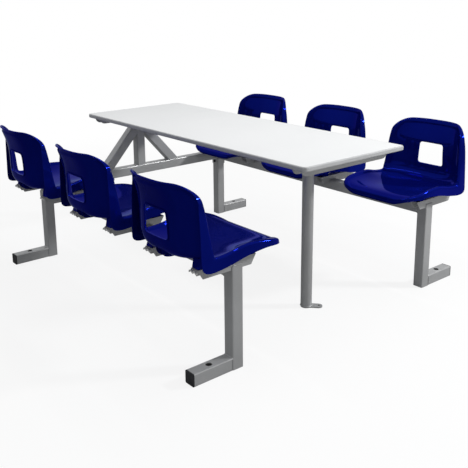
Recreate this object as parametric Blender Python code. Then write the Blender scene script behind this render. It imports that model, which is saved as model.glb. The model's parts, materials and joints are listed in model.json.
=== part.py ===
# A table with two rows of fixed bucket seats, in metres: +X along the rows towards the near end,
# +Y across them towards the right row, +Z up. The origin is on the floor at the table's centre.

import math

import bmesh
import bpy
import numpy as np
from mathutils import Vector

# Clearance between pieces that touch
GAP = 0.0003

# Square steel tube
TUBE = 0.050
TUBE_WALL = 0.003
TUBE_CORNER = 0.004
CORNER_STEPS = 2

# Seat rows. The seats end inside the table's ends by the inset
ROW_OFFSET = 0.5755
ROW_INSET = 0.0045
BEAM_TOP = 0.408
NEAR_POST_INSET = 0.079
FOOT_REACH = 0.180
ACCESS_HOLE = 0.025
FLOOR_BOLT_HOLE = 0.012
FLOOR_BOLT_REACH = 0.094

# Plastic end caps of the tubes
CAP_FACE = 0.004
CAP_PLUG = 0.014
PLUG_CLEARANCE = 0.0005

# Clamped collars on the far posts
COLLAR_HEIGHT = 0.033
COLLAR_WALL = 0.004
COLLAR_BOLT_HEAD = 0.016
COLLAR_BOLT_HEAD_HEIGHT = 0.006
COLLAR_BOLT_SHANK = 0.008

# Table top
TOP_LENGTH = 1.644
TOP_WIDTH = 0.595
TOP_HEIGHT = 0.730
TOP_THICKNESS = 0.020
TOP_CORNER = 0.020
TOP_CORNER_STEPS = 6
LIPPING = 0.006
LIPPING_ROUND = 0.005
LIPPING_ROUND_STEPS = 3

# Rails under the top
RAIL_LENGTH = 0.510
RAIL_WIDTH = 0.050
RAIL_HEIGHT = 0.036
RAIL_WALL = 0.003
RAIL_END_ROUND = 0.030
RAIL_END_STEPS = 4
NEAR_RAIL_INSET = 0.060
TOP_SCREW_SPACING = 0.300
TOP_SCREW_SHANK = 0.005
TOP_SCREW_HEAD = 0.011
TOP_SCREW_HEAD_HEIGHT = 0.003
TOP_SCREW_BITE = 0.012
SCREW_CLEARANCE = 0.0004

# Far pedestal
BRACE_FOOT = 0.221
BRACE_HEAD_DROP = 0.048

# Near leg
LEG_INSET = 0.271
LEG_DIAMETER = 0.050
LEG_WALL = 0.0025
LEG_SIDES = 24
FOOT_PLATE = 0.006
FOOT_TAB_WIDTH = 0.036
FOOT_TAB_REACH = 0.072
FOOT_TAB_HOLE_AT = 0.056
FOOT_TAB_ANGLE = math.radians(42)

# Seats and the bearers that carry them
SEAT_SHIFT = 0.004
BEARER_SPACING = 0.290
BEARER_WIDTH = 0.040
BEARER_WALL = 0.003
BEARER_HEIGHT = 0.037
BEARER_NOTCH = 0.015
BEARER_FRONT_LAP = 0.016
BEARER_REAR_LAP = 0.005
BEARER_BEVEL = 0.023
NOTCH_CLEARANCE = 0.0005

# Moulded shell. Each station is a point of its centre line, from the front edge to the top of the back,
# with the crest of its sides and the hem of its skirt there. Each of the three has its reach outwards
# from the row's beam and its height over the bearers, as shares of the shell's depth. The last number
# is the half width, as a share of the shell's width
SHELL_DEPTH = 0.467
SHELL_WIDTH = 0.445
SHELL_STATION_SHARES = (
    (-0.435, 0.034, -0.435, 0.034, -0.424, 0.027, 0.449),
    (-0.413, 0.066, -0.415, 0.069, -0.404, 0.052, 0.467),
    (-0.347, 0.088, -0.349, 0.105, -0.345, 0.066, 0.494),
    (-0.203, 0.088, -0.201, 0.135, -0.203, 0.075, 0.500),
    (-0.011, 0.077, -0.008, 0.146, -0.012, 0.056, 0.500),
    (0.161, 0.073, 0.160, 0.116, 0.161, 0.021, 0.500),
    (0.300, 0.071, 0.285, 0.111, 0.321, 0.002, 0.500),
    (0.405, 0.074, 0.308, 0.150, 0.407, 0.026, 0.500),
    (0.460, 0.108, 0.320, 0.206, 0.424, 0.107, 0.492),
    (0.479, 0.188, 0.328, 0.272, 0.424, 0.214, 0.487),
    (0.482, 0.364, 0.343, 0.373, 0.424, 0.360, 0.479),
    (0.501, 0.493, 0.362, 0.493, 0.423, 0.488, 0.467),
    (0.565, 0.662, 0.400, 0.655, 0.409, 0.643, 0.444),
)
BACK_BEND_SHARES = (0.403, 0.445)
SHELL_WALL = 0.004
SHELL_DISH_POWER = 3
SHELL_ROLL = 0.010
SHELL_FLARE = 0.002
FRONT_CORNER = 0.095
BACK_CORNER = 0.062
SHELL_CORNER_STEPS = 4
SEAT_MIDDLE = 0.040
SIDE_COLUMN_SHARE = 0.900
HAND_HOLE_WIDTH = 0.138
HAND_HOLE_BOTTOM = 0.098
HAND_HOLE_TOP = 0.204
LUG_WIDTH = 0.038
LUG_LENGTH = 0.040
FRONT_LUG_SHARE = -0.118
REAR_LUG_SHARE = 0.321
SPAN_SAMPLES = 32
SMOOTH_ANGLE = math.radians(40)

# Places that follow from the sizes above
BEAM_BOTTOM = BEAM_TOP - TUBE
FAR_POST_X = TUBE / 2 + GAP + COLLAR_WALL - TOP_LENGTH / 2
NEAR_POST_X = TOP_LENGTH / 2 - NEAR_POST_INSET
LEG_X = TOP_LENGTH / 2 - LEG_INSET
SEAT_PITCH = (TOP_LENGTH - SHELL_WIDTH) / 2 - ROW_INSET
FRONT_LUG = FRONT_LUG_SHARE * SHELL_DEPTH
REAR_LUG = REAR_LUG_SHARE * SHELL_DEPTH
BEARER_FRONT = LUG_LENGTH / 2 + BEARER_FRONT_LAP - FRONT_LUG
BEARER_REAR = LUG_LENGTH / 2 + BEARER_REAR_LAP + REAR_LUG
BEARER_TOP = BEAM_TOP + GAP + BEARER_HEIGHT - BEARER_NOTCH
TOP_UNDERSIDE = TOP_HEIGHT - TOP_THICKNESS
RAIL_TOP = TOP_UNDERSIDE - GAP
RAIL_BOTTOM = RAIL_TOP - RAIL_HEIGHT
NEAR_RAIL_X = TOP_LENGTH / 2 - NEAR_RAIL_INSET - RAIL_WIDTH / 2


def clear_scene():
    for item in list(bpy.data.objects):
        bpy.data.objects.remove(item)


def material(name, colour, roughness, metallic=0.0):
    made = bpy.data.materials.new(name)
    made.use_nodes = True
    shader = made.node_tree.nodes["Principled BSDF"]
    shader.inputs["Base Color"].default_value = (*colour, 1.0)
    shader.inputs["Roughness"].default_value = roughness
    shader.inputs["Metallic"].default_value = metallic
    return made


def finished(bm, name):
    # Turns a built surface into a mesh whose faces all point out
    bmesh.ops.remove_doubles(bm, verts=bm.verts, dist=1e-6)
    bmesh.ops.recalc_face_normals(bm, faces=bm.faces)
    mesh = bpy.data.meshes.new(name)
    bm.to_mesh(mesh)
    bm.free()
    mesh.shade_smooth()
    mesh.set_sharp_from_angle(angle=SMOOTH_ANGLE)
    return mesh


def place(name, mesh, finish, parent=None, location=(0, 0, 0), rotation=(0, 0, 0)):
    item = bpy.data.objects.new(name, mesh)
    bpy.context.scene.collection.objects.link(item)
    item.parent = parent
    item.location = location
    item.rotation_euler = rotation
    if not mesh.materials:
        mesh.materials.append(finish)
    return item


def baked(item):
    # The object's mesh with its modifiers applied, and the object taken away
    bpy.context.view_layer.update()
    graph = bpy.context.evaluated_depsgraph_get()
    mesh = bpy.data.meshes.new_from_object(item.evaluated_get(graph))
    mesh.name = item.name
    bpy.data.objects.remove(item)
    return mesh


def drilled(mesh, name, cutters):
    # The mesh with each cutter mesh taken out of it
    body = bpy.data.objects.new(name, mesh)
    bpy.context.scene.collection.objects.link(body)
    tools = []
    for cutter in cutters:
        tool = bpy.data.objects.new(name + "_cutter", cutter)
        bpy.context.scene.collection.objects.link(tool)
        tool.hide_render = True
        tool.display_type = "WIRE"
        cut = body.modifiers.new("cut", "BOOLEAN")
        cut.operation = "DIFFERENCE"
        cut.object = tool
        tools.append(tool)
    result = baked(body)
    for tool in tools:
        bpy.data.objects.remove(tool)
    result.shade_smooth()
    result.set_sharp_from_angle(angle=SMOOTH_ANGLE)
    return result


def round_box(width, height, corner, steps):
    # Points round a rectangle with rounded corners, counter-clockwise
    points = []
    for quarter in range(4):
        turn = quarter * math.pi / 2
        across = math.copysign(width / 2 - corner, math.cos(turn + math.pi / 4))
        up = math.copysign(height / 2 - corner, math.sin(turn + math.pi / 4))
        for step in range(steps + 1):
            angle = turn + step * math.pi / 2 / steps
            points.append((across + corner * math.cos(angle), up + corner * math.sin(angle)))
    return points


def circle(radius, sides):
    turns = [2 * math.pi * k / sides for k in range(sides)]
    return [(radius * math.cos(turn), radius * math.sin(turn)) for turn in turns]


def skin(bm, rings, closed=False):
    # Side faces between rings of equal counts, with flat ends unless the rings close on themselves
    rows = [[bm.verts.new(point) for point in ring] for ring in rings]
    pairs = list(zip(rows, rows[1:]))
    if closed:
        pairs.append((rows[-1], rows[0]))
    count = len(rows[0])
    for low, high in pairs:
        for k in range(count):
            after = (k + 1) % count
            bm.faces.new((low[k], low[after], high[after], high[k]))
    if not closed:
        bm.faces.new(rows[0])
        bm.faces.new(rows[-1])


def solid_of_rings(name, rings, closed=False):
    bm = bmesh.new()
    skin(bm, rings, closed)
    return finished(bm, name)


def cylinder(name, radius, low, high, centre=(0, 0), sides=16):
    rings = [[(centre[0] + x, centre[1] + y, z) for x, y in circle(radius, sides)] for z in (low, high)]
    return solid_of_rings(name, rings)


def tube(name, start, end, side, loops, start_normal=None, end_normal=None):
    # A hollow tube from start to end, each end cut by the plane with the given normal
    start = Vector(start)
    end = Vector(end)
    along = (end - start).normalized()
    side = Vector(side)
    other = along.cross(side)
    cuts = ((start, Vector(start_normal or along)), (end, Vector(end_normal or along)))

    def ring(loop, cut):
        point, normal = cut
        found = []
        for across, up in loop:
            base = start + side * across + other * up
            found.append(base + along * ((point - base).dot(normal) / along.dot(normal)))
        return found

    outer, inner = loops
    rings = [ring(outer, cuts[0]), ring(outer, cuts[1]), ring(inner, cuts[1]), ring(inner, cuts[0])]
    return solid_of_rings(name, rings, closed=True)


def tube_loops(width=TUBE, height=TUBE):
    inner_corner = TUBE_CORNER / 4
    return (
        round_box(width, height, TUBE_CORNER, CORNER_STEPS),
        round_box(width - 2 * TUBE_WALL, height - 2 * TUBE_WALL, inner_corner, CORNER_STEPS),
    )


def channel(name, outline, width, wall):
    # A folded channel, open below. The outline of its sides runs from one top corner, down and along
    # the bottom, to the other top corner, in the plane of Y and Z.
    top = outline[0][1]

    def under_web(corner, below):
        share = wall / (top - below[1])
        return (corner[0] + (below[0] - corner[0]) * share, top - wall)

    first = under_web(outline[0], outline[1])
    last = under_web(outline[-1], outline[-2])
    edge = [first, *outline[1:-1], last]
    half = width / 2
    inner = half - wall
    faces = [[(-half, *outline[0]), (half, *outline[0]), (half, *outline[-1]), (-half, *outline[-1])]]
    faces.append([(-inner, *first), (inner, *first), (inner, *last), (-inner, *last)])
    for corner, web in ((outline[0], first), (outline[-1], last)):
        faces.append(
            [(-half, *corner), (half, *corner), (half, *web), (inner, *web), (-inner, *web), (-half, *web)]
        )
    for sign in (-1, 1):
        faces.append([(sign * half, *point) for point in (outline[0], *edge, outline[-1])])
        faces.append([(sign * inner, *point) for point in edge])
        for one, two in zip(edge, edge[1:]):
            faces.append(
                [(sign * half, *one), (sign * half, *two), (sign * inner, *two), (sign * inner, *one)]
            )
    bm = bmesh.new()
    for face in faces:
        bm.faces.new([bm.verts.new(point) for point in face])
    return finished(bm, name)


def end_cap(name):
    # A cap's face stands on Z = 0 and its plug reaches down into the tube
    plug_side = TUBE - 2 * TUBE_WALL - 2 * PLUG_CLEARANCE
    face = round_box(TUBE, TUBE, TUBE_CORNER, CORNER_STEPS)
    plug = round_box(plug_side, plug_side, TUBE_CORNER / 4, CORNER_STEPS)
    heights = ((face, CAP_FACE), (face, 0), (plug, 0), (plug, -CAP_PLUG))
    return solid_of_rings(name, [[(x, y, z) for x, y in loop] for loop, z in heights])


def foot_tube():
    start = (0, TUBE / 2 + GAP, TUBE / 2)
    end = (0, TUBE / 2 + FOOT_REACH - CAP_FACE - GAP, TUBE / 2)
    plain = tube("foot", start, end, (1, 0, 0), tube_loops())
    centre = (0, TUBE / 2 + FLOOR_BOLT_REACH)
    access = cylinder("access", ACCESS_HOLE / 2, TUBE / 2, TUBE + TUBE_WALL, centre, 20)
    bolt = cylinder("bolt", FLOOR_BOLT_HOLE / 2, -TUBE_WALL, TUBE_WALL * 2, centre)
    return drilled(plain, "foot", [access, bolt])


def rail_channel(name, screw_places):
    half = RAIL_LENGTH / 2
    arc = []
    for step in range(RAIL_END_STEPS + 1):
        angle = step * math.pi / 2 / RAIL_END_STEPS
        inset = RAIL_END_ROUND * (1 - math.cos(angle))
        arc.append((inset, RAIL_END_ROUND * (1 - math.sin(angle)) - RAIL_HEIGHT))
    outline = [(-half, 0)]
    outline += [(-half + inset, height) for inset, height in arc]
    outline += [(half - inset, height) for inset, height in reversed(arc)]
    outline.append((half, 0))
    plain = channel(name, outline, RAIL_WIDTH, RAIL_WALL)
    radius = TOP_SCREW_SHANK / 2 + SCREW_CLEARANCE
    holes = [cylinder("hole", radius, -2 * RAIL_WALL, RAIL_WALL, (0, y)) for y in screw_places]
    return drilled(plain, name, holes)


def bearer_channel():
    notch = TUBE / 2 + NOTCH_CLEARANCE
    outline = [
        (-BEARER_FRONT, 0),
        (-BEARER_FRONT + BEARER_BEVEL, -BEARER_HEIGHT),
        (-notch, -BEARER_HEIGHT),
        (-notch, BEARER_NOTCH - BEARER_HEIGHT),
        (notch, BEARER_NOTCH - BEARER_HEIGHT),
        (notch, -BEARER_HEIGHT),
        (BEARER_REAR - BEARER_BEVEL, -BEARER_HEIGHT),
        (BEARER_REAR, 0),
    ]
    return channel("bearer", outline, BEARER_WIDTH, BEARER_WALL)


def shell_curve():
    # A smooth curve through the stations: arc length, and the stations' seven values along it
    stations = np.array(SHELL_STATION_SHARES) * ([SHELL_DEPTH] * 6 + [SHELL_WIDTH])
    ends = np.vstack((2 * stations[0] - stations[1], stations, 2 * stations[-1] - stations[-2]))
    samples = []
    for k in range(1, len(stations)):
        before, one, two, after = ends[k - 1 : k + 3]
        for t in np.linspace(0, 1, SPAN_SAMPLES, endpoint=False):
            bend = 2 * before - 5 * one + 4 * two - after
            twist = 3 * one - before - 3 * two + after
            samples.append(one + 0.5 * ((two - before) * t + bend * t**2 + twist * t**3))
    samples.append(stations[-1])
    values = np.array(samples)
    steps = np.hypot(*np.diff(values[:, :2], axis=0).T)
    return np.concatenate(([0], np.cumsum(steps))), values


def shell_rows(arc, values):
    # Each row's place along the curve, and how far round a corner it is: -90 degrees at the front
    # edge, 0 along the sides, 90 degrees at the top edge
    quarter = [math.pi / 2 * step / SHELL_CORNER_STEPS for step in range(SHELL_CORNER_STEPS + 1)]
    rows = [(FRONT_CORNER * (1 - math.cos(turn)), turn - math.pi / 2) for turn in quarter]
    reaches = [FRONT_LUG - LUG_LENGTH / 2, FRONT_LUG + LUG_LENGTH / 2, SEAT_MIDDLE]
    bend = [share * SHELL_DEPTH for share in BACK_BEND_SHARES]
    reaches += [REAR_LUG - LUG_LENGTH / 2, REAR_LUG + LUG_LENGTH / 2, *bend]
    rows += [(np.interp(reach, values[:, 0], arc), 0.0) for reach in reaches]
    back = values[:, 0] > bend[0]
    middle = (HAND_HOLE_BOTTOM + HAND_HOLE_TOP) / 2
    for height in (HAND_HOLE_BOTTOM, middle, HAND_HOLE_TOP):
        rows.append((np.interp(height, values[back, 1], arc[back]), 0.0))
    rows += [(arc[-1] - BACK_CORNER * (1 - math.sin(turn)), turn) for turn in quarter]
    return rows


def shell_sheet():
    # The face that the sitter touches, with its skirt turned away all round and the hand hole left open
    arc, values = shell_curve()
    rows = shell_rows(arc, values)
    slopes = np.gradient(values[:, :2], arc, axis=0)
    trim = SHELL_ROLL + SHELL_FLARE

    def side(place):
        return np.interp(place, arc, values[:, 6]) - trim

    hole_rows = [k for k, row in enumerate(rows) if row[1] == 0][-4:-1]
    hole = HAND_HOLE_WIDTH / 2 / side(rows[hole_rows[1]][0])
    widest = values[:, 6].max() - trim
    lugs = [(BEARER_SPACING / 2 + sign * LUG_WIDTH / 2) / widest for sign in (-1, 1)]
    half = [hole, *lugs, SIDE_COLUMN_SHARE, 1]
    columns = [-share for share in reversed(half)] + [0] + half

    bm = bmesh.new()
    grid = []
    frames = []
    for place, turn in rows:
        spot = [np.interp(place, arc, column) for column in values.T]
        centre, crest, hem = [Vector((0, spot[k], spot[k + 1])) for k in (0, 2, 4)]
        slope = Vector([np.interp(place, arc, column) for column in slopes.T]).normalized()
        along = Vector((0, slope.x, slope.y))
        corner = FRONT_CORNER if turn < 0 else BACK_CORNER
        width = side(place) - corner * (1 - math.cos(turn))
        line = []
        for share in columns:
            across = share * width
            point = centre + (crest - centre) * abs(across / side(place)) ** SHELL_DISH_POWER
            point.x = across
            line.append(bm.verts.new(point))
        grid.append(line)
        frames.append((along, turn, hem - crest))

    last = len(columns) - 1
    hole_columns = range(columns.index(-hole), columns.index(hole))
    for i in range(len(rows) - 1):
        for j in range(last):
            if i in hole_rows[:-1] and j in hole_columns:
                continue
            bm.faces.new((grid[i][j], grid[i][j + 1], grid[i + 1][j + 1], grid[i + 1][j]))

    # The edge of the sheet, counter-clockwise seen by the sitter, and the way out of it at each point
    edge = [(0, j) for j in range(last)]
    edge += [(i, last) for i in range(len(rows) - 1)]
    edge += [(len(rows) - 1, j) for j in range(last, 0, -1)]
    edge += [(i, 0) for i in range(len(rows) - 1, 0, -1)]
    lean = math.sin(math.pi / 4)
    rings = [[grid[i][j] for i, j in edge], [], []]
    for i, j in edge:
        along, turn, skirt = frames[i]
        sign = (j == last) - (j == 0)
        out = along * math.sin(turn) + Vector((sign * math.cos(turn), 0, 0))
        start = grid[i][j].co
        rolled = start + out * (SHELL_ROLL * lean) + skirt.normalized() * (SHELL_ROLL * (1 - lean))
        rings[1].append(bm.verts.new(rolled))
        rings[2].append(bm.verts.new(start + out * trim + skirt))
    for inner, outer in zip(rings, rings[1:]):
        for k in range(len(edge)):
            after = (k + 1) % len(edge)
            bm.faces.new((inner[k], outer[k], outer[after], inner[after]))
    mesh = bpy.data.meshes.new("shell_sheet")
    bm.to_mesh(mesh)
    bm.free()
    return mesh


def add_lugs(mesh):
    # Draws a block down from the underside at each of the four fixing points
    bm = bmesh.new()
    bm.from_mesh(mesh)
    bm.normal_update()
    found = []
    for face in bm.faces:
        middle = face.calc_center_median()
        over_bearer = abs(abs(middle.x) - BEARER_SPACING / 2) < LUG_WIDTH / 4
        over_lug = min(abs(middle.y - FRONT_LUG), abs(middle.y - REAR_LUG)) < LUG_LENGTH / 4
        if over_bearer and over_lug and face.normal.z < 0:
            found.append(face)
    for face in found:
        above = list(face.verts)
        below = [bm.verts.new((vert.co.x, vert.co.y, GAP)) for vert in above]
        bm.faces.remove(face)
        for k in range(len(above)):
            after = (k + 1) % len(above)
            bm.faces.new((above[k], above[after], below[after], below[k]))
        bm.faces.new(below)
    return finished(bm, "shell")


def seat_shell():
    sheet = bpy.data.objects.new("shell_sheet", shell_sheet())
    bpy.context.scene.collection.objects.link(sheet)
    wall = sheet.modifiers.new("wall", "SOLIDIFY")
    wall.thickness = SHELL_WALL
    wall.offset = -1
    wall.use_even_offset = True
    return add_lugs(baked(sheet))


def table_board(screw_places):
    shrink = 2 * (LIPPING + GAP)
    loop = round_box(TOP_LENGTH - shrink, TOP_WIDTH - shrink, TOP_CORNER - LIPPING, TOP_CORNER_STEPS)
    rings = [[(x, y, z) for x, y in loop] for z in (TOP_UNDERSIDE, TOP_HEIGHT)]
    plain = solid_of_rings("board", rings)
    depth = TOP_UNDERSIDE + TOP_SCREW_BITE + SCREW_CLEARANCE
    radius = TOP_SCREW_SHANK / 2 + SCREW_CLEARANCE
    holes = [cylinder("hole", radius, RAIL_BOTTOM, depth, centre) for centre in screw_places]
    return drilled(plain, "board", holes)


def table_lipping():
    # Section of the edge strip: a flat back and top and bottom, and two rounded outer edges
    section = [(LIPPING, 0)]
    for edge, start in ((0, -math.pi / 2), (TOP_THICKNESS, 0)):
        centre = LIPPING_ROUND if edge == 0 else edge - LIPPING_ROUND
        for step in range(LIPPING_ROUND_STEPS + 1):
            angle = start + step * math.pi / 2 / LIPPING_ROUND_STEPS
            inset = LIPPING_ROUND * (1 - math.cos(angle))
            section.append((inset, centre + LIPPING_ROUND * math.sin(angle)))
    section.append((LIPPING, TOP_THICKNESS))
    rings = []
    for inset, height in section:
        size = (TOP_LENGTH - 2 * inset, TOP_WIDTH - 2 * inset)
        loop = round_box(*size, TOP_CORNER - inset, TOP_CORNER_STEPS)
        rings.append([(x, y, TOP_UNDERSIDE + height) for x, y in loop])
    return solid_of_rings("lipping", rings, closed=True)


def top_screw():
    # The head is under the rail's web and the point is up in the board
    under = -RAIL_WALL - GAP
    head = circle(TOP_SCREW_HEAD / 2, 12)
    shank = circle(TOP_SCREW_SHANK / 2, 12)
    heights = ((head, under - TOP_SCREW_HEAD_HEIGHT), (head, under), (shank, under), (shank, TOP_SCREW_BITE))
    return solid_of_rings("top_screw", [[(x, y, z) for x, y in loop] for loop, z in heights])


def leg_foot_plate():
    # A flat foot: round under the leg, drawn out on one side to a tab for the floor bolt
    round_part = LEG_DIAMETER / 2
    half = FOOT_TAB_WIDTH / 2
    neck = math.asin(half / round_part)
    sweep = 2 * (math.pi - neck)
    outline = []
    for step in range(LEG_SIDES + 1):
        angle = neck + sweep * step / LEG_SIDES
        outline.append((round_part * math.cos(angle), round_part * math.sin(angle)))
    for step in range(LEG_SIDES // 2 + 1):
        angle = math.pi * step / (LEG_SIDES // 2) - math.pi / 2
        outline.append((FOOT_TAB_REACH - half + half * math.cos(angle), half * math.sin(angle)))
    plain = solid_of_rings("plate", [[(x, y, z) for x, y in outline] for z in (0, FOOT_PLATE)])
    hole = cylinder("hole", FLOOR_BOLT_HOLE / 2, -FOOT_PLATE, 2 * FOOT_PLATE, (FOOT_TAB_HOLE_AT, 0))
    return drilled(plain, "plate", [hole])


def post_collar():
    outside = TUBE + 2 * GAP + 2 * COLLAR_WALL
    loops = (
        round_box(outside, outside, TUBE_CORNER + COLLAR_WALL, CORNER_STEPS),
        round_box(TUBE + 2 * GAP, TUBE + 2 * GAP, TUBE_CORNER, CORNER_STEPS),
    )
    plain = tube("collar", (0, 0, 0), (0, 0, COLLAR_HEIGHT), (1, 0, 0), loops)
    radius = COLLAR_BOLT_SHANK / 2 + SCREW_CLEARANCE
    hole = cylinder("hole", radius, 0, outside)
    for vert in hole.vertices:
        vert.co = (vert.co.x, -vert.co.z, COLLAR_HEIGHT / 2 + vert.co.y)
    return drilled(plain, "collar", [hole])


def collar_bolt():
    # Its head stands on Z = 0 and its shank reaches down through the collar
    head = circle(COLLAR_BOLT_HEAD / 2, 16)
    crown = circle(COLLAR_BOLT_HEAD * 0.4, 16)
    shank = circle(COLLAR_BOLT_SHANK / 2, 16)
    heights = (
        (crown, COLLAR_BOLT_HEAD_HEIGHT),
        (head, COLLAR_BOLT_HEAD_HEIGHT * 0.7),
        (head, 0),
        (shank, 0),
        (shank, -COLLAR_WALL),
    )
    return solid_of_rings("collar_bolt", [[(x, y, z) for x, y in loop] for loop, z in heights])


def add_table(finishes):
    rails = {"far": FAR_POST_X, "near": NEAR_RAIL_X}
    places = (-TOP_SCREW_SPACING / 2, TOP_SCREW_SPACING / 2)
    board = table_board([(x, y) for x in rails.values() for y in places])
    place("table_top", board, finishes["laminate"])
    place("top_edge_strip", table_lipping(), finishes["edge"])
    screw = top_screw()
    for end, x in rails.items():
        rail = rail_channel(end + "_rail", places)
        place(end + "_top_rail", rail, finishes["steel"], location=(x, 0, RAIL_TOP))
        for label, y in zip(("left", "right"), places):
            name = "top_screw_" + end + "_" + label
            place(name, screw, finishes["zinc"], location=(x, y, RAIL_TOP))
    level = RAIL_TOP - RAIL_HEIGHT / 2
    reach = RAIL_WIDTH / 2 + GAP
    start = (FAR_POST_X + reach, 0, level)
    end = (NEAR_RAIL_X - reach, 0, level)
    spine = tube("spine", start, end, (0, 1, 0), tube_loops(RAIL_WIDTH, RAIL_HEIGHT))
    place("top_spine_rail", spine, finishes["steel"])


def add_pedestal(finishes):
    level = BEAM_TOP - TUBE / 2
    reach = ROW_OFFSET - TUBE / 2 - GAP
    start = (FAR_POST_X, -reach, level)
    beam = tube("cross", start, (FAR_POST_X, reach, level), (1, 0, 0), tube_loops())
    place("cross_beam", beam, finishes["steel"])
    start = (FAR_POST_X, 0, BEAM_TOP + GAP)
    upright = tube("upright", start, (FAR_POST_X, 0, RAIL_BOTTOM - GAP), (1, 0, 0), tube_loops())
    place("pedestal_upright", upright, finishes["steel"])
    inner = TUBE / 2 + GAP
    head = RAIL_BOTTOM - BRACE_HEAD_DROP
    for label, sign in (("left", -1), ("right", 1)):
        start = (FAR_POST_X, sign * BRACE_FOOT, BEAM_TOP + GAP)
        end = (FAR_POST_X, sign * inner, head)
        brace = tube("brace", start, end, (1, 0, 0), tube_loops(), (0, 0, 1), (0, 1, 0))
        place("pedestal_brace_" + label, brace, finishes["steel"])


def add_leg(finishes):
    loops = (circle(LEG_DIAMETER / 2, LEG_SIDES), circle(LEG_DIAMETER / 2 - LEG_WALL, LEG_SIDES))
    start = (LEG_X, 0, FOOT_PLATE + GAP)
    leg = tube("leg", start, (LEG_X, 0, RAIL_BOTTOM - GAP), (1, 0, 0), loops)
    place("table_leg", leg, finishes["steel"])
    turn = (0, 0, FOOT_TAB_ANGLE)
    place("leg_foot_plate", leg_foot_plate(), finishes["steel"], location=(LEG_X, 0, 0), rotation=turn)


def add_row(label, sign, meshes, finishes):
    # Everything is placed as on the right row, and the left row's frame is turned half round
    row = bpy.data.objects.new(label + "_row", None)
    bpy.context.scene.collection.objects.link(row)
    row.location = (0, sign * ROW_OFFSET, 0)
    row.rotation_euler = (0, 0, 0 if sign > 0 else math.pi)
    steel = finishes["steel"]
    black = finishes["black"]
    ends = [x + turn * (TUBE / 2 + GAP) for x, turn in ((FAR_POST_X, 1), (NEAR_POST_X, -1))]
    level = BEAM_TOP - TUBE / 2
    beam = tube("beam", (ends[0], 0, level), (ends[1], 0, level), (0, 1, 0), tube_loops())
    middle = (ends[0] + ends[1]) / 2
    for vert in beam.vertices:
        vert.co.x -= middle
    place("seat_beam_" + label, beam, steel, row, (sign * middle, 0, 0))
    outward = TUBE / 2 + FOOT_REACH - CAP_FACE
    for end, x in (("far", FAR_POST_X), ("near", NEAR_POST_X)):
        name = end + "_" + label
        across = sign * x
        place("post_" + name, meshes["post"], steel, row, (across, 0, 0))
        place("post_cap_" + name, meshes["post_cap"], steel, row, (across, 0, BEAM_TOP - CAP_FACE))
        place("foot_" + name, meshes["foot"], steel, row, (across, 0, 0))
        turn = (-math.pi / 2, 0, 0)
        place("foot_cap_" + name, meshes["foot_cap"], black, row, (across, outward, TUBE / 2), turn)
    collar_level = BEAM_BOTTOM - GAP - COLLAR_HEIGHT
    place("collar_" + label, meshes["collar"], steel, row, (sign * FAR_POST_X, 0, collar_level))
    face = TUBE / 2 + 2 * GAP + COLLAR_WALL
    spot = (sign * FAR_POST_X, -face, collar_level + COLLAR_HEIGHT / 2)
    place("collar_bolt_" + label, meshes["collar_bolt"], black, row, spot, (math.pi / 2, 0, 0))
    for number, seat in enumerate(("far", "middle", "near")):
        x = SEAT_SHIFT + (number - 1) * SEAT_PITCH
        name = seat + "_" + label
        place("seat_shell_" + name, meshes["shell"], finishes["blue"], row, (sign * x, 0, BEARER_TOP))
        for side, turn in (("a", -1), ("b", 1)):
            spot = (sign * (x + turn * BEARER_SPACING / 2), 0, BEARER_TOP)
            place("bearer_" + name + "_" + side, meshes["bearer"], steel, row, spot)


def main():
    clear_scene()
    finishes = {
        "laminate": material("white_laminate", (0.82, 0.83, 0.83), 0.35),
        "edge": material("grey_edging", (0.55, 0.56, 0.57), 0.45),
        "steel": material("grey_painted_steel", (0.25, 0.26, 0.27), 0.42, 0.3),
        "blue": material("blue_polypropylene", (0.010, 0.022, 0.170), 0.24),
        "black": material("black_plastic", (0.012, 0.012, 0.013), 0.5),
        "zinc": material("zinc_plate", (0.60, 0.60, 0.58), 0.35, 1.0),
    }
    post_top = BEAM_TOP - CAP_FACE - GAP
    meshes = {
        "post": tube("post", (0, 0, 0), (0, 0, post_top), (1, 0, 0), tube_loops()),
        "foot": foot_tube(),
        "post_cap": end_cap("post_cap"),
        "foot_cap": end_cap("foot_cap"),
        "collar": post_collar(),
        "collar_bolt": collar_bolt(),
        "bearer": bearer_channel(),
        "shell": seat_shell(),
    }
    add_table(finishes)
    add_pedestal(finishes)
    add_leg(finishes)
    for label, sign in (("left", -1), ("right", 1)):
        add_row(label, sign, meshes, finishes)


main()
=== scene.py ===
import json
import math

import bmesh
import bpy
import numpy as np
from mathutils import Matrix, Vector

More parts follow.
